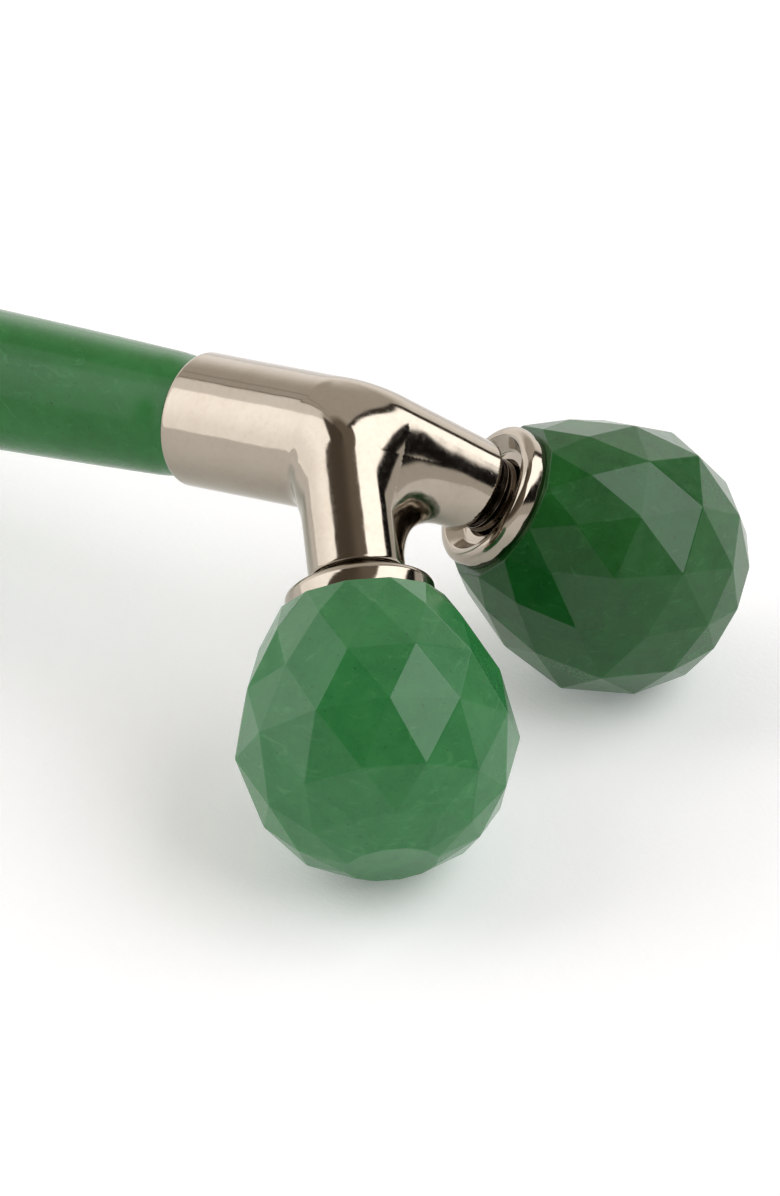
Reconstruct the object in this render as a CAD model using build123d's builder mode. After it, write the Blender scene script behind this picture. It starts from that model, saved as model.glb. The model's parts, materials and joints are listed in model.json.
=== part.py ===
from build123d import *
from math import asin, cos, pi, radians, sin, tan
import os

# Face roller with two faceted stones that spin on the arms of a metal yoke, and a stone handle.
# Lengths are in millimetres and angles in degrees.
# The roller stands on a table on its two stones and the butt of its handle.
# The origin is on the table, under the middle of the roller.
# +X runs from the handle to the stones, +Y is the left side and +Z is up.

# Handle: a turned stone with a spigot glued into the yoke's socket
handle_length = 116.0
handle_neck_step = 0.65
handle_belly_radius = 7.6
handle_belly_place = 75.0
handle_butt_radius = 6.9
handle_butt_slope = 3.0
handle_neck_slope = 2.3
handle_neck_round = 0.35

# Ferrule: the yoke's socket for the handle
ferrule_radius = 6.75
ferrule_wall = 1.35
ferrule_lip_round = 0.5
ferrule_floor = 6.0
ferrule_nose_round = 2.5
socket_depth = 9.0

# Dowel between the yoke and the handle
dowel_radius = 2.0
dowel_in_handle = 18.0
dowel_in_yoke = 6.0
dowel_chamfer = 0.3

# Arms: their axes cross above the ferrule's axis
arm_radius = 4.8
arm_pitch = 56.65
arm_spread = 36.2
arm_cross_ahead = 17.8
arm_cross_rise = 3.2
arm_root_inset = 0.25
arm_root_start = 0.4
arm_bend_radius = 5.2
arm_reach = 16.8
arm_end_round = 0.4

# Stone: rings of facets round the arm's axis, placed from the girdle, the widest ring
facets = 12
girdle_radius = 14.0
girdle_to_mouth = 14.6
neck_ring_place = 11.2
back_ring_place = 5.95
back_fullness = 1.75
front_ring_place = 6.15
front_ring_inset = 2.0
rest_ring_inset = 5.1
table_place = 12.1
table_radius = 4.6
stone_lip = 0.9

# Sleeve: a dished flange with a tube behind it, glued into the stone
flange_radius = 7.4
flange_thickness = 2.2
flange_rim_round = 0.9
flange_gap = 1.1
dish_depth = 1.4
dish_floor_width = 0.95
sleeve_wall = 1.4
sleeve_end_lip = 0.2
rib_height = 0.5
sleeve_mouth_step = 0.65
bore_end_room = 2.5

# Collar between the arm and the first bearing
collar_groove_depth = 0.3
collar_groove_width = 0.35
collar_groove_place = 0.9
collar_nose_length = 0.3

# Bearings, 3 x 7 x 3
bearing_bore_radius = 1.5
bearing_radius = 3.5
bearing_width = 3.0
bearing_spacing = 4.0
bearing_set_in = 0.75
inner_race_radius = 2.1
outer_race_inner_radius = 2.9
ball_radius = 0.6
ball_count = 7
cage_thickness = 0.4
cage_width = 2.0

# Axle, washer and screw
axle_in_arm = 8.0
axle_end_gap = 0.1
axle_chamfer = 0.2
washer_radius = 2.2
washer_thickness = 0.5
screw_radius = 1.0
screw_length = 6.0
screw_head_radius = 1.8
screw_head_height = 1.2
screw_head_round = 0.3
screw_socket_flat = 1.5
screw_socket_depth = 0.7

# Clearances
bond_gap = 0.03
ball_gap = 0.04
collar_gap = 0.3
hole_room = 0.4
spigot_room = 0.4

# Places along an arm's axis, counted outwards from the arm's end
seat = flange_gap + flange_thickness
bearing_starts = {
    "inboard": seat + bearing_set_in,
    "outboard": seat + bearing_set_in + bearing_width + bearing_spacing,
}
bearing_end = bearing_starts["outboard"] + bearing_width
washer_end = bearing_end + washer_thickness
girdle_place = seat + girdle_to_mouth
girdle_reach = arm_reach + girdle_place

# Radii that follow from a fit
socket_radius = ferrule_radius - ferrule_wall
handle_neck_radius = ferrule_radius - handle_neck_step
ball_ring_radius = (inner_race_radius + outer_race_inner_radius) / 2
sleeve_radius = bearing_radius + sleeve_wall
sleeve_mouth_radius = bearing_radius + sleeve_mouth_step
collar_radius = sleeve_mouth_radius - collar_gap
dish_radius = sleeve_mouth_radius + dish_floor_width
stone_bore_radius = sleeve_radius + bond_gap
stone_mouth_radius = flange_radius + stone_lip
front_ring_radius = girdle_radius - front_ring_inset
rest_ring_radius = girdle_radius - rest_ring_inset

# Half a facet's step round the ring, and the distance from the axis to the middle of a ring's edge
half_step = pi / facets
front_edge_radius = front_ring_radius * cos(half_step)


def steepness(tilt):
    """Angle between an arm's axis and straight down, in radians, with the handle tilted by tilt."""
    return pi / 2 - asin(cos(radians(arm_spread)) * sin(radians(arm_pitch) - tilt))


def girdle_height(tilt):
    """Height of a stone's girdle centre above the facet that it rests on."""
    lean = steepness(tilt)
    return sin(lean) * front_edge_radius + cos(lean) * front_ring_place


def standing_gap(tilt):
    """Height of the stones' resting facets over the table, with the butt on the table."""
    along_handle = handle_length - handle_butt_radius + arm_cross_ahead
    crossing_height = handle_butt_radius + along_handle * sin(tilt) + arm_cross_rise * cos(tilt)
    return crossing_height - girdle_reach * cos(steepness(tilt)) - girdle_height(tilt)


# The tilt at which the stones and the butt all touch the table, found by halving
low_tilt = radians(-10)
high_tilt = radians(40)
halvings = 50
for halving in range(halvings):
    tilt = (low_tilt + high_tilt) / 2
    if standing_gap(tilt) > 0:
        high_tilt = tilt
    else:
        low_tilt = tilt

# The facet under each stone lies flat on the table
lean = steepness(tilt)
rest_ring_place = front_ring_place + tan(lean) * (front_edge_radius - rest_ring_radius)


def back_radius(place):
    """Radius of a ring between the girdle and the stone's mouth."""
    share = (place / girdle_to_mouth) ** back_fullness
    return girdle_radius - (girdle_radius - stone_mouth_radius) * share


# Rings of facets: place past the girdle, radius, and whether a corner points straight down
rings = [
    (-girdle_to_mouth, stone_mouth_radius, False),
    (-neck_ring_place, back_radius(neck_ring_place), True),
    (-back_ring_place, back_radius(back_ring_place), False),
    (0.0, girdle_radius, True),
    (front_ring_place, front_ring_radius, False),
    (rest_ring_place, rest_ring_radius, True),
    (table_place, table_radius, False),
]


def stone_corners():
    """Corners of a stone, with x pointing down from the arm's axis and z out along it."""
    corners = []
    for place, radius, corner_down in rings:
        start = 0 if corner_down else half_step
        for number in range(facets):
            turn = start + 2 * half_step * number
            corners.append((radius * cos(turn), radius * sin(turn), girdle_place + place))
    return corners


# Directions: forward along the handle, upward square to it, and each arm's axis
forward = Vector(cos(tilt), 0, sin(tilt))
upward = Vector(-sin(tilt), 0, cos(tilt))
pitch = radians(arm_pitch)
spread = radians(arm_spread)


def arm_direction(side):
    """Axis of the arm on one side, pointing out to the stone."""
    ahead = forward * (cos(spread) * cos(pitch))
    below = upward * (cos(spread) * sin(pitch))
    return ahead - below + Vector(0, side * sin(spread), 0)


def downward(direction):
    """Direction square to an arm's axis that points most nearly straight down."""
    return (direction * direction.Z - Vector(0, 0, 1)).normalized()


# The ferrule's mouth, placed so that the origin is under the middle of the roller
mouth_height = handle_butt_radius + (handle_length - handle_butt_radius) * sin(tilt)
mouth = Vector(0, 0, mouth_height)
crossing = mouth + forward * arm_cross_ahead + upward * arm_cross_rise
axis = arm_direction(1)
left_arm = Plane(crossing + axis * arm_reach, x_dir=downward(axis), z_dir=axis)
front_end = max(left_arm.from_local_coords(corner).X for corner in stone_corners())
back_end = -(handle_length - handle_butt_radius) * cos(tilt) - handle_butt_radius
mouth = mouth - Vector((front_end + back_end) / 2, 0, 0)
crossing = mouth + forward * arm_cross_ahead + upward * arm_cross_rise

# Working planes: across the ferrule's mouth looking forward, and across each arm's end looking out
mouth_plane = Plane(mouth, x_dir=upward, z_dir=forward)
arm_planes = {}
for name, side in (("left", 1), ("right", -1)):
    axis = arm_direction(side)
    arm_planes[name] = Plane(crossing + axis * arm_reach, x_dir=downward(axis), z_dir=axis)


def profile_plane(plane):
    """Plane through a piece's axis, for its profile: x is the radius and y is the place along the axis."""
    return Plane(plane.origin, x_dir=plane.x_dir, z_dir=-plane.y_dir)


def turning_axis(plane):
    """Axis that a turned piece is turned about."""
    return Axis(plane.origin, plane.z_dir)


def save(part, label):
    """Name a finished piece and write its file."""
    part.label = label
    export_step(part, f"parts/{label}.step")


os.makedirs("parts", exist_ok=True)

# Handle: turned from one stone, with a hole for the dowel up its middle
butt_turn = radians(handle_butt_slope)
neck_turn = radians(handle_neck_slope)
butt_centre = handle_length - handle_butt_radius
butt_join = (handle_butt_radius * cos(butt_turn), -butt_centre - handle_butt_radius * sin(butt_turn))
with BuildPart() as handle:
    with BuildSketch(profile_plane(mouth_plane)):
        with BuildLine():
            Polyline(
                (0, -handle_length),
                (0, socket_depth - spigot_room),
                (socket_radius - bond_gap, socket_depth - spigot_room),
                (socket_radius - bond_gap, 0),
                (handle_neck_radius - handle_neck_round, 0),
            )
            neck_edge = RadiusArc(
                (handle_neck_radius - handle_neck_round, 0),
                (handle_neck_radius, -handle_neck_round),
                handle_neck_round,
            )
            Spline(
                neck_edge @ 1,
                (handle_belly_radius, -handle_belly_place),
                butt_join,
                tangents=(
                    (sin(neck_turn), -cos(neck_turn)),
                    (0, -1),
                    (-sin(butt_turn), -cos(butt_turn)),
                ),
            )
            TangentArc(butt_join, (0, -handle_length), tangent=(-sin(butt_turn), -cos(butt_turn)))
        make_face()
    revolve(axis=turning_axis(mouth_plane))
    with BuildSketch(mouth_plane.offset(socket_depth)):
        Circle(dowel_radius + bond_gap)
    extrude(amount=-(socket_depth + dowel_in_handle + hole_room), mode=Mode.SUBTRACT)
save(handle.part, "handle")

# Dowel: a plain steel stud, half in the handle and half in the yoke
with BuildPart() as dowel:
    with BuildSketch(mouth_plane.offset(-dowel_in_handle)):
        Circle(dowel_radius)
    extrude(amount=dowel_in_handle + socket_depth + dowel_in_yoke)
    chamfer(dowel.edges().filter_by(GeomType.CIRCLE), length=dowel_chamfer)
save(dowel.part, "dowel")

# Yoke: one casting with the ferrule, two curved arms and a bore in the end of each arm
arm_root_rise = ferrule_radius - arm_radius - arm_root_inset
root_place = (arm_cross_rise - arm_root_rise) / (cos(spread) * sin(pitch))
with BuildPart() as yoke:
    with BuildSketch(mouth_plane):
        Circle(ferrule_radius)
    extrude(amount=socket_depth + ferrule_floor)
    fillet(yoke.faces().sort_by(Axis(mouth, forward))[-1].edges(), radius=ferrule_nose_round)
    fillet(yoke.faces().sort_by(Axis(mouth, forward))[0].edges(), radius=ferrule_lip_round)
    for plane in arm_planes.values():
        corner = crossing + plane.z_dir * root_place
        root = corner - forward * (forward.dot(corner - mouth) - socket_depth - arm_root_start)
        with BuildLine() as route:
            FilletPolyline(root, corner, plane.origin, radius=arm_bend_radius)
        with BuildSketch(Plane(root, x_dir=upward, z_dir=forward)):
            Circle(arm_radius)
        sweep(path=route.wire())
    for plane in arm_planes.values():
        end_face = yoke.faces().filter_by(GeomType.PLANE).sort_by_distance(plane.origin)[0]
        fillet(end_face.edges(), radius=arm_end_round)
        with BuildSketch(plane):
            Circle(bearing_bore_radius + bond_gap)
        extrude(amount=-(axle_in_arm + hole_room), mode=Mode.SUBTRACT)
    with BuildSketch(mouth_plane):
        Circle(socket_radius)
    extrude(amount=socket_depth, mode=Mode.SUBTRACT)
    with BuildSketch(mouth_plane.offset(socket_depth)):
        Circle(dowel_radius + bond_gap)
    extrude(amount=dowel_in_yoke + hole_room, mode=Mode.SUBTRACT)
save(yoke.part, "yoke")


def make_stone(plane):
    """Faceted stone with a blind bore for the sleeve."""
    with BuildPart(plane) as stone:
        ConvexPolyhedron(stone_corners())
        with BuildSketch(plane.offset(seat)):
            Circle(stone_bore_radius)
        extrude(amount=washer_end + bore_end_room - seat, mode=Mode.SUBTRACT)
    return stone.part


def make_sleeve(plane):
    """Dished flange and bearing tube, turned in one piece, with a rib between the two bearings."""
    rib_start = bearing_starts["inboard"] + bearing_width
    rib_end = bearing_starts["outboard"]
    seat_radius = bearing_radius + bond_gap
    rib_radius = bearing_radius - rib_height
    tube_end = bearing_end + sleeve_end_lip
    dish_floor = flange_gap + dish_depth
    with BuildPart() as sleeve:
        with BuildSketch(profile_plane(plane)):
            with BuildLine():
                Polyline(
                    (flange_radius - flange_rim_round, flange_gap),
                    (dish_radius, dish_floor),
                    (sleeve_mouth_radius, dish_floor),
                    (sleeve_mouth_radius, bearing_starts["inboard"]),
                    (seat_radius, bearing_starts["inboard"]),
                    (seat_radius, rib_start),
                    (rib_radius, rib_start),
                    (rib_radius, rib_end),
                    (seat_radius, rib_end),
                    (seat_radius, tube_end),
                    (sleeve_radius, tube_end),
                    (sleeve_radius, seat),
                    (flange_radius, seat),
                    (flange_radius, flange_gap + flange_rim_round),
                )
                CenterArc(
                    (flange_radius - flange_rim_round, flange_gap + flange_rim_round),
                    flange_rim_round,
                    start_angle=270,
                    arc_size=90,
                )
            make_face()
        revolve(axis=turning_axis(plane))
    return sleeve.part


def make_collar(plane):
    """Stepped ring that holds the first bearing off the arm and fills the flange's mouth."""
    bearing_start = bearing_starts["inboard"]
    body_end = bearing_start - collar_nose_length
    groove_end = collar_groove_place + collar_groove_width
    with BuildPart() as collar:
        with BuildSketch(profile_plane(plane)):
            with BuildLine():
                Polyline(
                    (bearing_bore_radius + bond_gap, 0),
                    (collar_radius, 0),
                    (collar_radius, collar_groove_place),
                    (collar_radius - collar_groove_depth, collar_groove_place),
                    (collar_radius - collar_groove_depth, groove_end),
                    (collar_radius, groove_end),
                    (collar_radius, body_end),
                    (inner_race_radius, body_end),
                    (inner_race_radius, bearing_start),
                    (bearing_bore_radius + bond_gap, bearing_start),
                    close=True,
                )
            make_face()
        revolve(axis=turning_axis(plane))
    return collar.part


def make_axle(plane):
    """Plain steel pin, pressed into the arm, with a tapped hole in its outer end."""
    with BuildPart() as axle:
        with BuildSketch(plane.offset(-axle_in_arm)):
            Circle(bearing_bore_radius)
        extrude(amount=axle_in_arm + bearing_end - axle_end_gap)
        chamfer(axle.edges().filter_by(GeomType.CIRCLE), length=axle_chamfer)
        with BuildSketch(plane.offset(bearing_end)):
            Circle(screw_radius + bond_gap)
        extrude(amount=-(screw_length - washer_thickness + hole_room), mode=Mode.SUBTRACT)
    return axle.part


def make_ring(plane, start, length, bore, radius):
    """Plain ring round an arm's axis."""
    with BuildPart() as ring:
        with BuildSketch(plane.offset(start)):
            Circle(radius)
            Circle(bore, mode=Mode.SUBTRACT)
        extrude(amount=length)
    return ring.part


def make_screw(plane):
    """Round-headed screw with a hexagon socket."""
    with BuildPart() as screw:
        with BuildSketch(plane.offset(washer_end)):
            Circle(screw_head_radius)
        extrude(amount=screw_head_height)
        fillet(screw.faces().sort_by(turning_axis(plane))[-1].edges(), radius=screw_head_round)
        with BuildSketch(plane.offset(washer_end)):
            Circle(screw_radius)
        extrude(amount=-screw_length)
        with BuildSketch(plane.offset(washer_end + screw_head_height)):
            RegularPolygon(screw_socket_flat / 2, 6, major_radius=False)
        extrude(amount=-screw_socket_depth, mode=Mode.SUBTRACT)
    return screw.part


def make_race(plane, start, bore, radius):
    """Bearing race with a round groove for the balls."""
    with BuildPart() as race:
        with BuildSketch(profile_plane(plane)):
            with Locations(((bore + radius) / 2, start + bearing_width / 2)):
                Rectangle(radius - bore, bearing_width)
            with Locations((ball_ring_radius, start + bearing_width / 2)):
                Circle(ball_radius + ball_gap, mode=Mode.SUBTRACT)
        revolve(axis=turning_axis(plane))
    return race.part


def make_balls(plane, start):
    """Set of loose balls, evenly spaced in their groove."""
    with BuildPart(plane.offset(start + bearing_width / 2)) as balls:
        with PolarLocations(ball_ring_radius, ball_count):
            Sphere(ball_radius)
    return balls.part


def make_cage(plane, start):
    """Thin ring with a pocket for each ball."""
    middle = plane.offset(start + bearing_width / 2)
    with BuildPart(middle) as cage:
        Cylinder(ball_ring_radius + cage_thickness / 2, cage_width)
        Cylinder(ball_ring_radius - cage_thickness / 2, cage_width, mode=Mode.SUBTRACT)
        with PolarLocations(ball_ring_radius, ball_count):
            Cylinder(ball_radius + ball_gap, 2 * cage_thickness, rotation=(0, 90, 0), mode=Mode.SUBTRACT)
    return cage.part


# The pieces of each side, from the arm outwards
for name, plane in arm_planes.items():
    save(make_axle(plane), f"{name}_axle")
    save(make_collar(plane), f"{name}_collar")
    save(make_sleeve(plane), f"{name}_sleeve")
    for bearing, start in bearing_starts.items():
        inner_race = make_race(plane, start, bearing_bore_radius + bond_gap, inner_race_radius)
        save(inner_race, f"{name}_{bearing}_inner_race")
        save(make_balls(plane, start), f"{name}_{bearing}_balls")
        save(make_cage(plane, start), f"{name}_{bearing}_cage")
        outer_race = make_race(plane, start, outer_race_inner_radius, bearing_radius)
        save(outer_race, f"{name}_{bearing}_outer_race")
    spacer_start = bearing_starts["inboard"] + bearing_width
    spacer_bore = bearing_bore_radius + bond_gap
    save(make_ring(plane, spacer_start, bearing_spacing, spacer_bore, inner_race_radius), f"{name}_spacer")
    washer_bore = screw_radius + bond_gap
    save(make_ring(plane, bearing_end, washer_thickness, washer_bore, washer_radius), f"{name}_washer")
    save(make_screw(plane), f"{name}_screw")
    save(make_stone(plane), f"{name}_stone")
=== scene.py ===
import json
import math

import bmesh
import bpy
import numpy as np
from mathutils import Matrix, Vector


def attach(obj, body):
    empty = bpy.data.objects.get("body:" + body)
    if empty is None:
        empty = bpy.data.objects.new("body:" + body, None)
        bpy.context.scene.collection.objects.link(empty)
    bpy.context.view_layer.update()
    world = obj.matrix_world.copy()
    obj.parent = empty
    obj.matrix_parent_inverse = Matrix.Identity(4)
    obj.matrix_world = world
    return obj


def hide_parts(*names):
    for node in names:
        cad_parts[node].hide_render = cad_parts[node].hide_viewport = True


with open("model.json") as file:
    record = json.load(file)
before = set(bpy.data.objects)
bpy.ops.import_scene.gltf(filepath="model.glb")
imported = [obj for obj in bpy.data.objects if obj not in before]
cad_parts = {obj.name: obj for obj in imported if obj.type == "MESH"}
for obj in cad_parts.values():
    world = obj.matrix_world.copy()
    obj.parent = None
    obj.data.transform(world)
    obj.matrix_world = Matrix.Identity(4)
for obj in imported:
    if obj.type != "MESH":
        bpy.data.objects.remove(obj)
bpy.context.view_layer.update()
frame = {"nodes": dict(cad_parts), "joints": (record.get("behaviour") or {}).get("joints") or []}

# Face roller: two faceted stones spin on the arms of a metal yoke, and a stone handle fits its socket.
# Sizes are in millimetres until a mesh is made. Places along the handle are counted forward from the
# yoke's mouth, and places along an arm are counted outwards from the middle of its stone.


# HANDLE
# One long stone, turned on a lathe and polished. It swells towards its butt, and a thinner spigot at
# its front end is glued into the yoke's socket, so that a sliver of shadow shows where they meet.

mm = 0.001


def corners(node):
    """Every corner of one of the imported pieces."""
    return np.array([corner.co for corner in frame["nodes"][node].data.vertices], float) / mm


def around(spots, start, direction):
    """How far along a centre line each spot is, and how far from it."""
    reach = np.asarray(spots) - start
    places = reach @ direction
    return places, np.linalg.norm(reach - places[:, None] * direction, axis=1)


def long_axis(node):
    """Middle and direction of a long piece, pointing to +X."""
    spots = corners(node)
    middle = (spots.max(axis=0) + spots.min(axis=0)) / 2
    direction = np.linalg.svd(spots - spots.mean(axis=0))[2][0]
    return middle, direction * np.sign(direction[0])


dowel_middle, forward = long_axis("dowel")
ahead = around(corners("yoke"), dowel_middle, forward)[0].min()
mouth = dowel_middle + forward * ahead
upward = np.cross(forward, [0.0, 1.0, 0.0])


class Wire:
    """A socket of a material's nodes. Arithmetic on a wire adds Math nodes to that material."""

    def __init__(self, tree, socket=None):
        self.tree = tree
        self.socket = socket

    def add(self, kind, settings=None, sockets=None, output=None):
        """Adds a node: its settings are set first, then the values or wires of its sockets."""
        node = self.tree.nodes.new(kind)
        for setting, value in (settings or {}).items():
            setattr(node, setting, value)
        for name, value in (sockets or {}).items():
            if isinstance(name, int):
                socket = node.inputs[name]
            else:
                socket = next(plug for plug in node.inputs if plug.name == name and plug.enabled)
            if isinstance(value, Wire):
                self.tree.links.new(value.socket, socket)
            else:
                socket.default_value = value
        shown = [plug for plug in node.outputs if plug.enabled and output in (None, plug.name)]
        return Wire(self.tree, shown[0] if shown else None)

    def maths(self, operation, *others):
        """Math node on this value and the others."""
        return self.add("ShaderNodeMath", {"operation": operation}, dict(enumerate((self, *others))))

    def __add__(self, other):
        return self.maths("ADD", other)

    __radd__ = __add__

    def __mul__(self, other):
        return self.maths("MULTIPLY", other)

    __rmul__ = __mul__

    def __sub__(self, other):
        return self.maths("SUBTRACT", other)

    def __rsub__(self, other):
        return self.add("ShaderNodeMath", {"operation": "SUBTRACT"}, {0: other, 1: self})

    def above(self, level, softness):
        """1 where the value is above a level, 0 below it, with a soft step between."""
        start = level - softness / 2
        sockets = {"Value": self, "From Min": start, "From Max": start + softness}
        settings = {"interpolation_type": "SMOOTHSTEP"}
        return self.add("ShaderNodeMapRange", settings, sockets)

    def mixed(self, plain, other):
        """Colour that goes from plain to other as this value goes from 0 to 1."""
        sockets = {"Factor": self, "A": plain, "B": other}
        return self.add("ShaderNodeMix", {"data_type": "RGBA"}, sockets)

    def noise(self, size, detail=2.0, roughness=0.5, warp=0.0):
        """Cloudy noise whose patches are about size millimetres across."""
        sockets = {
            "Vector": self,
            "Scale": 1 / (size * mm),
            "Detail": detail,
            "Roughness": roughness,
            "Distortion": warp,
        }
        return self.add("ShaderNodeTexNoise", None, sockets)

    def cells(self, size, output="Distance"):
        """Distance to the nearest of scattered points about size millimetres apart, or their colour."""
        return self.add("ShaderNodeTexVoronoi", None, {"Vector": self, "Scale": 1 / (size * mm)}, output)

    def stretched(self, factors):
        """Position scaled by a factor along each axis."""
        settings = {"operation": "MULTIPLY"}
        return self.add("ShaderNodeVectorMath", settings, {0: self, 1: factors})

    def bump(self, height, depth):
        """Normal for a height from 0 to 1 that stands for so many millimetres."""
        sockets = {"Height": height, "Distance": depth * mm, "Strength": 1.0}
        return self.add("ShaderNodeBump", None, sockets, "Normal")


def new_material(name):
    """Empty material, and a wire with the position on the piece at rest."""
    material = bpy.data.materials.new(name)
    material.use_nodes = True
    material.node_tree.nodes.clear()
    start = Wire(material.node_tree)
    return material, start.add("ShaderNodeTexCoord", None, None, "Object")


def finish_with(wire, sockets):
    """Ends a material in one surface shader."""
    surface = wire.add("ShaderNodeBsdfPrincipled", {"subsurface_method": "RANDOM_WALK"}, sockets)
    wire.add("ShaderNodeOutputMaterial", None, {"Surface": surface})


def jade(name, deep, pale, glow, gloss):
    """Polished jade: cloudy green with fine grain, dark specks, pale wisps and a soft glow inside."""
    material, place = new_material(name)
    clouds = place.noise(5.5, detail=3.0, roughness=0.55, warp=0.6).above(0.5, 0.55)
    patches = place.noise(1.4, detail=4.0, roughness=0.62).above(0.52, 0.5)
    grain = place.noise(0.22, detail=3.0, roughness=0.7)
    colour = (0.65 * clouds + 0.35 * patches).mixed(deep, pale)
    wisps = place.stretched((1.0, 1.0, 2.4)).noise(3.2, detail=5.0, roughness=0.7, warp=1.4)
    colour = (0.4 * wisps.above(0.62, 0.14)).mixed(colour, glow)
    colour = (0.5 * (grain - 0.5).above(0.0, 0.5)).mixed(colour, pale)
    lone = place.cells(1.5, "Color").maths("GREATER_THAN", 0.62)
    specks = (1 - place.cells(1.5).above(0.07, 0.05)) * lone
    motes = 1 - place.noise(0.42, detail=2.0).above(0.29, 0.05)
    darkest = tuple(0.3 * part for part in deep)
    colour = (0.75 * specks.maths("MAXIMUM", 0.6 * motes)).mixed(colour, darkest)
    polish = 0.16 + 0.07 * patches + 0.1 * specks
    ripple = 0.6 * place.noise(2.6, detail=2.0) + 0.06 * grain - 0.05 * specks
    finish_with(place, {
        "Base Color": colour,
        "Roughness": polish,
        "Normal": place.bump(ripple, 0.012),
        "IOR": 1.61,
        "Specular IOR Level": gloss,
        "Subsurface Weight": 0.15,
        "Subsurface Radius": (0.55, 1.0, 0.42),
        "Subsurface Scale": 0.0022,
    })
    return material


def turned(name, profile, start, direction, sides=160):
    """Mesh turned about a centre line from places along it and radii. A radius of 0 closes the end."""
    across = np.cross(direction, [0.0, 1.0, 0.3])
    across = across / np.linalg.norm(across)
    beside = np.cross(direction, across)
    mesh = bmesh.new()
    rows = []
    for place, radius in profile:
        middle = start + direction * place
        if radius < 1e-6:
            rows.append([mesh.verts.new(Vector(middle * mm))])
            continue
        row = []
        for side in range(sides):
            turn = 2 * math.pi * side / sides
            spot = middle + radius * (math.cos(turn) * across + math.sin(turn) * beside)
            row.append(mesh.verts.new(Vector(spot * mm)))
        rows.append(row)
    closed = len(rows[0]) > 1
    for low, high in zip(rows, rows[1:] + rows[:1] if closed else rows[1:]):
        for side in range(sides):
            after = (side + 1) % sides
            near_pair = [low[side % len(low)], low[after % len(low)]]
            far_pair = [high[after % len(high)], high[side % len(high)]]
            mesh.faces.new(list(dict.fromkeys(near_pair + far_pair)))
    bmesh.ops.recalc_face_normals(mesh, faces=mesh.faces)
    return mesh


def rounded(points, radii):
    """Outline through points, with the corners that have a radius rounded by an arc."""
    outline = []
    for number, point in enumerate(points):
        radius = radii.get(number, 0)
        here = np.array(point, float)
        if radius == 0:
            outline.append(here)
            continue
        back = np.array(points[number - 1]) - here
        on = np.array(points[(number + 1) % len(points)]) - here
        back = back / np.linalg.norm(back)
        on = on / np.linalg.norm(on)
        half = math.acos(float(back @ on)) / 2
        bisector = (back + on) / np.linalg.norm(back + on)
        centre = here + bisector * radius / math.sin(half)
        first = here + back * radius / math.tan(half) - centre
        last = here + on * radius / math.tan(half) - centre
        sweep = math.pi - 2 * half
        for step in range(9):
            share = step / 8
            arc = math.sin((1 - share) * sweep) * first + math.sin(share * sweep) * last
            outline.append(centre + arc / math.sin(sweep))
    return outline


def new_piece(name, mesh, material, sharp=35):
    """Object from a mesh, smooth but for edges sharper than an angle in degrees."""
    data = bpy.data.meshes.new(name)
    mesh.to_mesh(data)
    mesh.free()
    piece = bpy.data.objects.new(name, data)
    bpy.context.scene.collection.objects.link(piece)
    data.materials.append(material)
    data.shade_smooth()
    data.set_sharp_from_angle(angle=math.radians(sharp))
    return piece


handle_places, handle_radii = around(corners("handle"), mouth, forward)
spigot_end = handle_places.max()
butt = handle_places.min()
dowel_hole = handle_radii[handle_radii > 0.5].min()
spigot_radius = handle_radii[handle_places > 1].max()
neck_radius = handle_radii[abs(handle_places) < 1].max()
belly_radius = handle_radii.max()
belly_place = -75.0
butt_radius = 6.9
neck_slope = math.tan(math.radians(2.3))
butt_slope = math.tan(math.radians(3.0))
hole_floor = -18.4
shoulder_length = 3.2
shoulder_dip = 0.16


def eased(share):
    """Smooth step from 0 to 1."""
    share = min(max(share, 0), 1)
    return share * share * (3 - 2 * share)


def bow(start, end, start_slope, end_slope, share):
    """Radius between two places, with the slope at each end given per millimetre."""
    span = end[0] - start[0]
    stay = 2 * share**3 - 3 * share**2 + 1
    return (
        stay * start[1]
        + (1 - stay) * end[1]
        + (share**3 - 2 * share**2 + share) * span * start_slope
        + (share**3 - share**2) * span * end_slope
    )


butt_centre = butt + butt_radius
butt_turn = math.atan(butt_slope)
butt_join = (butt_centre - butt_radius * math.sin(butt_turn), butt_radius * math.cos(butt_turn))
handle_profile = [
    (hole_floor, 0.0),
    (hole_floor, dowel_hole),
    (spigot_end, dowel_hole),
    (spigot_end, spigot_radius),
    (0.05, spigot_radius),
]
neck_round = 0.4
for step in range(7):
    turn = math.pi / 2 * step / 6
    place = -neck_round * (1 - math.cos(turn))
    handle_profile.append((place, neck_radius - shoulder_dip - neck_round * (1 - math.sin(turn))))
for step in range(1, 60):
    share = (step / 60) ** 1.4
    place = -neck_round + share * (belly_place + neck_round)
    radius = bow((-neck_round, neck_radius), (belly_place, belly_radius), -neck_slope, 0.0, share)
    radius -= shoulder_dip * (1 - eased((-place - 0.8) / shoulder_length))
    handle_profile.append((place, radius))
for step in range(30):
    share = step / 30
    place = belly_place + share * (butt_join[0] - belly_place)
    handle_profile.append((place, bow((belly_place, belly_radius), butt_join, 0.0, butt_slope, share)))
for step in range(25):
    turn = butt_turn + (math.pi / 2 - butt_turn) * step / 24
    handle_profile.append((butt_centre - butt_radius * math.sin(turn), butt_radius * math.cos(turn)))

handle_jade = jade(
    "turned_jade",
    (0.006, 0.105, 0.012, 1.0),
    (0.018, 0.165, 0.03, 1.0),
    (0.06, 0.25, 0.08, 1.0),
    0.22,
)
handle = new_piece("turned_handle", turned("handle", handle_profile, mouth, forward), handle_jade)
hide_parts("handle")
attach(handle, "frame")


# DOWEL
# A plain ground steel stud inside the handle and the yoke, glued into both.


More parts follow.
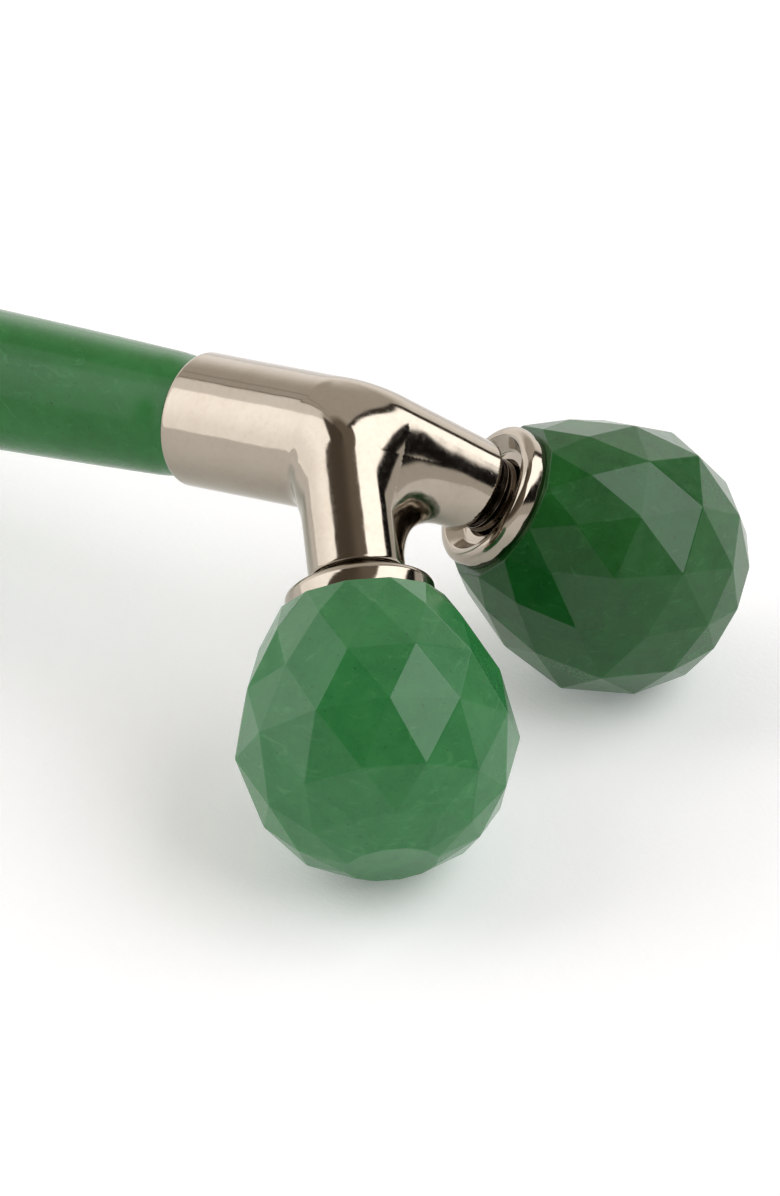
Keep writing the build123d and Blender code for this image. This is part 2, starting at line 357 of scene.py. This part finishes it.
def ground_steel(name, colour, line_size):
    """Ground metal: fine lines with slightly uneven polish."""
    material, place = new_material(name)
    lines = place.stretched((1.0, 1.0, 9.0)).noise(line_size, detail=3.0, roughness=0.7)
    stains = place.noise(2.0, detail=2.0).above(0.5, 0.5)
    shade = (0.35 * lines + 0.4 * stains).mixed(colour, tuple(0.72 * part for part in colour))
    finish_with(place, {
        "Base Color": shade,
        "Roughness": 0.16 + 0.16 * lines,
        "Metallic": 1.0,
        "Normal": place.bump(lines, 0.004),
    })
    return material


def refinish(node, material):
    """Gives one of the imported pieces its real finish."""
    piece = frame["nodes"][node]
    piece.data.materials.clear()
    piece.data.materials.append(material)


bearing_steel = ground_steel("bearing_steel", (0.62, 0.62, 0.63, 1.0), 0.25)
refinish("dowel", bearing_steel)


# YOKE
# One brass casting, polished and plated with warm nickel. A round socket holds the handle, and two
# arms bend down and apart from it, with a small fillet under the socket and a saddle between them.

arm_axes = {}
stone_middles = {}
for side in ("left", "right"):
    joint = next(joint for joint in frame["joints"] if joint["name"] == f"{side}_stone_spin")
    arm_axes[side] = np.array(joint["axis"])
    stone_middles[side] = np.array(joint["pos_m"]) / mm
crossing = stone_middles["left"] - arm_axes["left"] * stone_middles["left"][1] / arm_axes["left"][1]

yoke_places, yoke_radii = around(corners("yoke"), mouth, forward)
ferrule_radius = yoke_radii[abs(yoke_places - 4) < 4].max()
socket_wall = 1.35
socket_radius = ferrule_radius - socket_wall
socket_floor = 9.0
ferrule_length = 19.0
ferrule_lip = 0.5
ferrule_nose = 3.0
nose_start = 3.0
arm_radius = 4.8
arm_rise = ferrule_radius - arm_radius - 0.25
arm_bend = 5.2
root_place = 7.5
arm_end_round = 0.4
arm_end_room = 0.5
tip_start = 2.0
axle_start = around(corners("left_axle"), stone_middles["left"], arm_axes["left"])[0].min()
axle_in_arm = 8.0
arm_end = axle_start + axle_in_arm
bore_radius = 1.53
bore_depth = 8.4
stud_hole_radius = 2.03
stud_hole_floor = 15.4
crotch_fillet = 9.0
socket_fillet = 5.0


def unit(vectors):
    """Vectors of length 1."""
    return vectors / np.maximum(np.linalg.norm(vectors, axis=-1, keepdims=True), 1e-9)


def rod(spots, start, direction, length, radius, rounding):
    """Distance of spots from a round rod with rounded ends, and the way out from it."""
    reach = spots - start
    place = reach @ direction
    off = reach - place[:, None] * direction
    aside = unit(off)
    over_side = np.linalg.norm(off, axis=1) - (radius - rounding)
    over_end = abs(place - length / 2) - (length / 2 - rounding)
    end_way = np.sign(place - length / 2)[:, None] * direction
    corner = np.hypot(np.maximum(over_side, 0), np.maximum(over_end, 0))
    distance = np.minimum(np.maximum(over_side, over_end), 0) + corner - rounding
    slanted = np.maximum(over_side, 0)[:, None] * aside + np.maximum(over_end, 0)[:, None] * end_way
    inner_way = np.where((over_side > over_end)[:, None], aside, end_way)
    return distance, np.where((corner > 1e-9)[:, None], unit(slanted), inner_way)


def nearer(first, second):
    """The nearer of two shapes at each spot."""
    closer = second[0] < first[0]
    return np.where(closer, second[0], first[0]), np.where(closer[:, None], second[1], first[1])


def arm_route(axis):
    """An arm's root, the way to its bend, and the bend's start, end and centre."""
    fall = (crossing - mouth) @ upward - arm_rise
    corner = crossing + axis * fall / -(axis @ upward)
    root = mouth + forward * root_place + upward * arm_rise
    leg = unit(corner - root)
    setback = arm_bend * math.tan(math.acos(leg @ axis) / 2)
    inward = unit(axis - leg * (leg @ axis))
    bend_start = corner - leg * setback
    return root, leg, bend_start, corner + axis * setback, bend_start + inward * arm_bend


def arm(spots, side):
    """Distance from one bent arm, and the way out from it."""
    axis = arm_axes[side]
    root, leg, bend_start, bend_end, centre = arm_route(axis)
    inward = unit(centre - bend_start)
    reach = spots - centre
    turn = np.clip(np.arctan2(reach @ leg, -(reach @ inward)), 0, math.acos(leg @ axis))
    on_bend = centre + arm_bend * (np.sin(turn)[:, None] * leg - np.cos(turn)[:, None] * inward)
    bend = np.linalg.norm(spots - on_bend, axis=1) - arm_radius, unit(spots - on_bend)
    run = (bend_start - root) @ leg
    rear = rod(spots, root - leg * arm_radius, leg, run + 2 * arm_radius, arm_radius, arm_radius)
    length = (stone_middles[side] + axis * arm_end - bend_end) @ axis
    shank_length = length + arm_radius - arm_end_room
    shank = rod(spots, bend_end - axis * arm_radius, axis, shank_length, arm_radius, arm_radius)
    tip = rod(spots, bend_end + axis * tip_start, axis, length - tip_start, arm_radius, arm_end_round)
    return nearer(nearer(nearer(bend, rear), shank), tip)


def joined(first, second, fillet):
    """Two shapes run together, with a fillet that fades out where they already agree."""
    agree = (first[1] * second[1]).sum(axis=1)
    reach = np.maximum(fillet * (1 - agree), 1e-4)
    blend = np.clip((reach - abs(first[0] - second[0])) / reach, 0, 1)
    share = np.where(second[0] < first[0], 1 - blend / 2, blend / 2)[:, None]
    distance = np.minimum(first[0], second[0]) - blend * blend * reach / 4
    return distance, unit(first[1] * (1 - share) + second[1] * share)


def yoke_distance(spots):
    """Distance from the yoke's polished skin."""
    arms = joined(arm(spots, "left"), arm(spots, "right"), crotch_fillet)
    length = ferrule_length - nose_start
    front = rod(spots, mouth, forward, length, ferrule_radius, ferrule_lip)
    nose = rod(spots, mouth + forward * nose_start, forward, length, ferrule_radius, ferrule_nose)
    return joined(arms, nearer(front, nose), socket_fillet)[0]


def way_out(spots, step=0.02):
    """Slope of the distance from the skin at each spot."""
    slopes = []
    for axis in np.eye(3):
        rise = yoke_distance(spots + axis * step) - yoke_distance(spots - axis * step)
        slopes.append(rise / (2 * step))
    return np.stack(slopes, axis=1)


def bent_rod(path, radius, sides=48):
    """Closed tube round a path of points, as a rough blank."""
    mesh = bmesh.new()
    path = [np.array(point) for point in path]
    rows = []
    beside = np.cross(path[1] - path[0], [0.3, 1.0, 0.2])
    for number, point in enumerate(path):
        ahead_way = unit(path[min(number + 1, len(path) - 1)] - path[max(number - 1, 0)])
        beside = unit(beside - ahead_way * (beside @ ahead_way))
        across = np.cross(ahead_way, beside)
        row = []
        for side in range(sides):
            turn = 2 * math.pi * side / sides
            spot = point + radius * (math.cos(turn) * beside + math.sin(turn) * across)
            row.append(mesh.verts.new(spot * mm))
        rows.append(row)
    for low, high in zip(rows, rows[1:]):
        for side in range(sides):
            after = (side + 1) % sides
            mesh.faces.new((low[side], low[after], high[after], high[side]))
    mesh.faces.new(rows[0][::-1])
    mesh.faces.new(rows[-1])
    bmesh.ops.recalc_face_normals(mesh, faces=mesh.faces)
    return mesh


def applied(piece):
    """Mesh of a piece with its modifiers worked in."""
    bpy.context.view_layer.update()
    ready = piece.evaluated_get(bpy.context.evaluated_depsgraph_get())
    return bpy.data.meshes.new_from_object(ready)


def arm_path(side):
    """Points along the middle of an arm, from inside the socket to its end."""
    axis = arm_axes[side]
    root, leg, bend_start, bend_end, centre = arm_route(axis)
    inward = unit(centre - bend_start)
    path = [root]
    for step in range(13):
        turn = math.acos(leg @ axis) * step / 12
        path.append(centre + arm_bend * (math.sin(turn) * leg - math.cos(turn) * inward))
    path.append(stone_middles[side] + axis * arm_end)
    return path


nickel_skin = 0.24
blank_profile = [(0, 0), (0, ferrule_radius), (ferrule_length, ferrule_radius), (ferrule_length, 0)]
blank = turned("blank", blank_profile, mouth, forward)
for side in arm_axes:
    tube = bent_rod(arm_path(side), arm_radius)
    rough = bpy.data.meshes.new("rough_arm")
    tube.to_mesh(rough)
    tube.free()
    blank.from_mesh(rough)
yoke = bpy.data.objects.new("polished_yoke", bpy.data.meshes.new("polished_yoke"))
blank.to_mesh(yoke.data)
blank.free()
bpy.context.scene.collection.objects.link(yoke)
grid = yoke.modifiers.new("grid", "REMESH")
grid.mode = "VOXEL"
grid.voxel_size = nickel_skin * mm
yoke.data = applied(yoke)
yoke.modifiers.clear()

skin = bmesh.new()
skin.from_mesh(yoke.data)
for round_number in range(6):
    spots = np.array([corner.co for corner in skin.verts]) / mm
    for pull in range(4 if round_number == 5 else 2):
        slope = way_out(spots)
        spots = spots - (yoke_distance(spots) / np.maximum((slope**2).sum(axis=1), 0.2))[:, None] * slope
    for corner, spot in zip(skin.verts, spots):
        corner.co = Vector(spot * mm)
    if round_number < 5:
        every_axis = {"use_axis_x": True, "use_axis_y": True, "use_axis_z": True}
        bmesh.ops.smooth_vert(skin, verts=skin.verts, factor=0.5, **every_axis)
skin.to_mesh(yoke.data)
skin.free()


def drill(start, direction, low, high, radius, sides):
    """Plain rod to cut a hole with, between two places along a centre line."""
    return turned("drill", [(low, 0), (low, radius), (high, radius), (high, 0)], start, direction, sides)


def cut_out(piece, cutter):
    """Cuts a closed shape out of a piece."""
    data = bpy.data.meshes.new("cutter")
    cutter.to_mesh(data)
    cutter.free()
    tool = bpy.data.objects.new("cutter", data)
    bpy.context.scene.collection.objects.link(tool)
    cut = piece.modifiers.new("cut", "BOOLEAN")
    cut.operation = "DIFFERENCE"
    cut.solver = "EXACT"
    cut.object = tool
    piece.data = applied(piece)
    piece.modifiers.clear()
    bpy.data.objects.remove(tool)


cutters = [
    drill(mouth, forward, -1, socket_floor, socket_radius, 96),
    drill(mouth, forward, socket_floor - 1, stud_hole_floor, stud_hole_radius, 48),
]
for side, axis in arm_axes.items():
    tip = stone_middles[side] + axis * arm_end
    cutters.append(drill(tip, axis, -bore_depth, 1, bore_radius, 48))
for cutter in cutters:
    cut_out(yoke, cutter)

yoke.data.shade_smooth()
spots = np.array([corner.co for corner in yoke.data.vertices]) / mm
on_skin = abs(yoke_distance(spots)) < 0.004
skin_ways = unit(way_out(spots))
loop_ways = []
for face in yoke.data.polygons:
    whole = all(on_skin[number] for number in face.vertices)
    agreement = np.mean([skin_ways[number] @ face.normal for number in face.vertices])
    matching = whole and abs(float(agreement)) > 0.8
    for number in face.vertices:
        loop_ways.append(skin_ways[number] if matching else face.normal)
yoke.data.normals_split_custom_set([Vector(way) for way in loop_ways])


def plated(name, colour, tint, polish):
    """Polished plating: faintly wavy from hand polishing, with hairlines and slight tarnish."""
    material, place = new_material(name)
    cloud = place.noise(4.0, detail=3.0, roughness=0.6).above(0.5, 0.5)
    tarnish = place.noise(0.6, detail=4.0, roughness=0.7).above(0.56, 0.25)
    shade = (0.5 * cloud + 0.3 * tarnish).mixed(colour, tint)
    pits = 1 - place.cells(0.9).above(0.06, 0.05)
    hairs = place.stretched((1.0, 7.0, 2.0)).noise(0.5, detail=4.0, roughness=0.75, warp=0.3)
    gloss = polish + 0.035 * cloud + 0.05 * tarnish + 0.04 * hairs + 0.12 * pits
    waves = place.noise(3.6, detail=1.0) + hairs * 0.012 - pits * 0.03
    finish_with(place, {
        "Base Color": shade,
        "Roughness": gloss,
        "Metallic": 1.0,
        "Normal": place.bump(waves, 0.035),
    })
    return material


plated_nickel = plated("plated_nickel", (0.40, 0.355, 0.295, 1.0), (0.36, 0.312, 0.25, 1.0), 0.045)
yoke.data.materials.append(plated_nickel)
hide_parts("yoke")
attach(yoke, "frame")


# AXLES, SPACERS, WASHERS AND SCREWS
# Each axle is a ground pin pressed into the end of its arm. On it sit the two bearings, with a spacer
# between them, held by a washer and a screw in the end of the axle, all hidden inside the stone.

blued_screw = ground_steel("screw_steel", (0.42, 0.42, 0.44, 1.0), 0.2)
for side in arm_axes:
    for piece in ("axle", "spacer", "washer"):
        refinish(f"{side}_{piece}", bearing_steel)
    refinish(f"{side}_screw", blued_screw)


# BEARINGS
# Two miniature ball bearings in each stone: hardened races and balls, and a pressed brass cage.

race_steel = ground_steel("race_steel", (0.66, 0.66, 0.67, 1.0), 0.15)
cage_brass = ground_steel("cage_brass", (0.72, 0.52, 0.24, 1.0), 0.3)
for side in arm_axes:
    for row in ("inboard", "outboard"):
        for piece in ("inner_race", "outer_race", "balls"):
            refinish(f"{side}_{row}_{piece}", race_steel)
        refinish(f"{side}_{row}_cage", cage_brass)


# COLLARS
# A stepped ring between the arm's end and the first bearing, with a groove turned in it. It is plated
#  nickel, coloured much darker as painted shade and painted dark reflection, for the dark neck inside
#  the flange.

# Painted shade and painted reflection: a darkened nickel colour for the neck sunk inside the flange.
dark_nickel = plated("dark_nickel", (0.17, 0.145, 0.12, 1.0), (0.11, 0.09, 0.075, 1.0), 0.1)
bearing_bore = 1.53
groove_start = 0.9
groove_end = 1.25
groove_depth = 0.3
nose_length = 0.3
nose_radius = 2.1

for side, axis in arm_axes.items():
    middle = stone_middles[side]
    places, radii = around(corners(f"{side}_collar"), middle, axis)
    near, far, wide = places.min(), places.max(), radii.max()
    profile = [
        (near, bearing_bore),
        (near, wide),
        (near + groove_start, wide),
        (near + groove_start, wide - groove_depth),
        (near + groove_end, wide - groove_depth),
        (near + groove_end, wide),
        (far - nose_length, wide),
        (far - nose_length, nose_radius),
        (far, nose_radius),
        (far, bearing_bore),
    ]
    mesh = turned("collar", rounded(profile, {2: 0.12, 5: 0.12, 6: 0.1}), middle, axis, 96)
    # The collar gets the darkened nickel of painted shade.
    collar = new_piece(f"{side}_painted_shade_collar", mesh, dark_nickel)
    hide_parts(f"{side}_collar")
    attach(collar, "frame")


# SLEEVES
# A dished flange and the tube behind it, turned in one piece and plated like the yoke. The tube is
# glued into the stone, and the bearings are pressed into it against a rib.

flange_thickness = 2.2
rim_round = 0.9
rim_width = 1.25
dish_depth = 1.4
dish_floor_width = 0.95
mouth_radius = 4.15
race_radius = 3.53
rib_height = 0.53

for side, axis in arm_axes.items():
    middle = stone_middles[side]
    places, radii = around(corners(f"{side}_sleeve"), middle, axis)
    rim_place, tube_end, flange_radius = places.min(), places.max(), radii.max()
    tube_radius = radii[places > tube_end - 0.5].max()
    races = around(corners(f"{side}_inboard_outer_race"), middle, axis)[0]
    outer_races = around(corners(f"{side}_outboard_outer_race"), middle, axis)[0]
    dish_floor = rim_place + dish_depth
    profile = [
        (rim_place, flange_radius - rim_width),
        (dish_floor, mouth_radius + dish_floor_width),
        (dish_floor, mouth_radius),
        (races.min(), mouth_radius),
        (races.min(), race_radius),
        (races.max(), race_radius),
        (races.max(), race_radius - rib_height),
        (outer_races.min(), race_radius - rib_height),
        (outer_races.min(), race_radius),
        (tube_end, race_radius),
        (tube_end, tube_radius),
        (rim_place + flange_thickness, tube_radius),
        (rim_place + flange_thickness, flange_radius),
        (rim_place, flange_radius),
    ]
    rounds = {0: 0.25, 1: 0.5, 2: 0.1, 10: 0.15, 12: 0.12, 13: rim_round}
    mesh = turned("sleeve", rounded(profile, rounds), middle, axis)
    sleeve = new_piece(f"{side}_flanged_sleeve", mesh, plated_nickel)
    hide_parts(f"{side}_sleeve")
    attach(sleeve, f"{side}_head")


# STONES
# Each head is one piece of jade, ground into rings of facets round its axis and polished, with a blind
# bore for the sleeve. The facets' edges are barely broken.

deep_jade = jade(
    "deep_faceted_jade",
    (0.002, 0.052, 0.006, 1.0),
    (0.009, 0.11, 0.016, 1.0),
    (0.04, 0.17, 0.05, 1.0),
    0.3,
)
bright_jade = jade(
    "bright_faceted_jade",
    (0.012, 0.125, 0.032, 1.0),
    (0.03, 0.195, 0.052, 1.0),
    (0.08, 0.28, 0.1, 1.0),
    0.3,
)
stone_jades = {"left": deep_jade, "right": bright_jade}
broken_edge = 0.1
glue_gap = 0.03

for side, axis in arm_axes.items():
    middle = stone_middles[side]
    stone = bmesh.new()
    for spot in corners(f"{side}_stone"):
        stone.verts.new(Vector(spot * mm))
    bmesh.ops.remove_doubles(stone, verts=stone.verts, dist=1e-6)
    hull = bmesh.ops.convex_hull(stone, input=stone.verts)
    left_over = set(hull["geom_interior"] + hull["geom_unused"])
    unused = [corner for corner in stone.verts if corner in left_over]
    bmesh.ops.delete(stone, geom=unused, context="VERTS")
    bmesh.ops.dissolve_limit(stone, angle_limit=math.radians(0.6), verts=stone.verts, edges=stone.edges)
    bmesh.ops.bevel(
        stone,
        geom=list(stone.edges),
        offset=broken_edge * mm,
        offset_type="OFFSET",
        segments=2,
        profile=0.5,
        affect="EDGES",
        clamp_overlap=True,
    )
    bmesh.ops.recalc_face_normals(stone, faces=stone.faces)
    data = bpy.data.meshes.new(f"{side}_faceted_stone")
    stone.to_mesh(data)
    stone.free()
    piece = bpy.data.objects.new(f"{side}_faceted_stone", data)
    bpy.context.scene.collection.objects.link(piece)

    sleeve_places, sleeve_radii = around(corners(f"{side}_sleeve"), middle, axis)
    bore = sleeve_radii[sleeve_places > sleeve_places.max() - 0.5].max() + glue_gap
    stone_places, stone_radii = around(corners(f"{side}_stone"), middle, axis)
    bore_floor = stone_places[abs(stone_radii - bore) < 0.05].max()
    cut_out(piece, drill(middle, axis, stone_places.min() - 1, bore_floor, bore, 96))
    piece.data.shade_smooth()
    piece.data.set_sharp_from_angle(angle=math.radians(60))
    piece.data.materials.append(stone_jades[side])
    weights = piece.modifiers.new("facets", "WEIGHTED_NORMAL")
    weights.keep_sharp = True
    weights.weight = 100
    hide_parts(f"{side}_stone")
    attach(piece, f"{side}_head")


# FLOOR
# A sheet of matt white paper, wide enough to fill every view.

floor_mesh = bmesh.new()
bmesh.ops.create_grid(floor_mesh, x_segments=8, y_segments=8, size=6.0)
paper, place = new_material("white_paper")
fibres = place.noise(0.5, detail=4.0, roughness=0.7)
finish_with(place, {
    "Base Color": fibres.mixed((0.90, 0.90, 0.905, 1.0), (0.94, 0.94, 0.945, 1.0)),
    "Roughness": 0.85 + 0.1 * fibres,
    "Specular IOR Level": 0.1,
    "Emission Color": (0.96, 0.97, 1.0, 1.0),
    "Emission Strength": 0.17,
    "Normal": place.bump(fibres, 0.06),
})
floor = new_piece("floor", floor_mesh, paper)


# LIGHT
# A studio room: a large soft box on the left, another ahead on the right with a black flag under it,
# dark room overhead, and a pale backdrop behind. Directions are in degrees, as bearing and height.

world = bpy.data.worlds.new("studio")
bpy.context.scene.world = world
world.use_nodes = True
world.node_tree.nodes.clear()
start = Wire(world.node_tree)
way = start.add("ShaderNodeTexCoord", None, None, "Generated")
parts = [way.add("ShaderNodeSeparateXYZ", None, {"Vector": way}, name) for name in "XYZ"]
height = parts[2].maths("ARCSINE") * (180 / math.pi)
bearing = parts[1].maths("ARCTAN2", parts[0]) * (180 / math.pi)
round_bearing = bearing + 360 * (1 - bearing.above(0.0, 0.001))


def between(value, low, high, edge):
    """1 between two values in degrees, with a soft edge at each."""
    return value.above(low, edge) * (1 - value.above(high, edge))


room = bearing.above(-60.0, 90.0).mixed((0.13, 0.105, 0.08, 1.0), (0.25, 0.21, 0.17, 1.0))
colour = (1 - height.above(24.0, 14.0)).mixed(room, (0.75, 0.72, 0.68, 1.0))
gap = between(bearing, 72.0, 90.0, 3.0) * between(height, 4.0, 72.0, 5.0)
colour = gap.mixed(colour, (0.06, 0.05, 0.04, 1.0))
backdrop = between(round_bearing, 84.0, 186.0, 4.0) * (1 - height.above(72.0, 10.0))
sweep = (1 - height.above(22.0, 26.0)).mixed((0.74, 0.69, 0.64, 1.0), (1.44, 1.41, 1.38, 1.0))
colour = backdrop.mixed(colour, sweep)
left_edge = round_bearing + 0.3 * (height - 45).maths("MINIMUM", 0.0)
left_span = round_bearing.above(171.0, 1.5) * (1 - left_edge.above(228.0, 2.0))
left_box = left_span * (1 - height.above(62.0, 4.0))
left_light = round_bearing.above(195.0, 2.0).mixed((1.44, 1.41, 1.4, 1.0), (2.3, 2.28, 2.3, 1.0))
left_light = (0.6 - 0.6 * height.above(22.0, 30.0)).mixed(left_light, (1.6, 1.55, 1.55, 1.0))
colour = left_box.mixed(colour, left_light)
for seam, darkness in ((169.0, 0.5), (157.0, 0.3)):
    line = between(round_bearing, seam - 1.2, seam + 1.2, 1.2) * height.above(28.0, 6.0)
    colour = (darkness * line).mixed(colour, (0.02, 0.017, 0.014, 1.0))
lowered = height + 0.35 * (bearing - 50).maths("MAXIMUM", 0.0)
right_box = between(bearing, -18.0, 75.0, 3.0) * lowered.above(26.5, 2.5) * (1 - height.above(65.0, 3.0))
colour = right_box.mixed(colour, (2.9, 2.9, 2.95, 1.0))
flag = between(bearing, -12.0, 75.0, 2.5) * height.above(11.5, 2.5) * (1 - lowered.above(26.5, 2.5))
colour = flag.mixed(colour, (0.012, 0.01, 0.01, 1.0))
background = start.add("ShaderNodeBackground", None, {"Color": colour, "Strength": 1.0})
start.add("ShaderNodeOutputWorld", None, {"Surface": background})
bpy.context.scene.view_settings.view_transform = "Standard"


# CAMERA
# A long lens, high on the right of the handle, looking down along it at the two stones.

aim = Vector((50.0, 0.0, 20.0)) * mm
camera_bearing = math.radians(35.36)
camera_height = math.radians(33.4)
camera_roll = math.radians(0.18)
camera_away = 1085 * mm
slide_right = 4.53 * mm
slide_up = -6.43 * mm
back = Vector((
    math.sin(camera_bearing) * math.cos(camera_height),
    -math.cos(camera_bearing) * math.cos(camera_height),
    math.sin(camera_height),
))
right = Vector((math.cos(camera_bearing), math.sin(camera_bearing), 0.0))
above = back.cross(right)
position = aim + back * camera_away + right * slide_right + above * slide_up
across = right * math.cos(camera_roll) + above * math.sin(camera_roll)
over = -right * math.sin(camera_roll) + above * math.cos(camera_roll)
lens = bpy.data.cameras.new("camera")
lens.lens = 330.52
lens.sensor_width = 36.0
lens.clip_start = 0.05
lens.clip_end = 20.0
camera = bpy.data.objects.new("camera", lens)
camera.matrix_world = Matrix((
    (across.x, over.x, back.x, position.x),
    (across.y, over.y, back.y, position.y),
    (across.z, over.z, back.z, position.z),
    (0.0, 0.0, 0.0, 1.0),
))
bpy.context.scene.collection.objects.link(camera)
bpy.context.scene.camera = camera
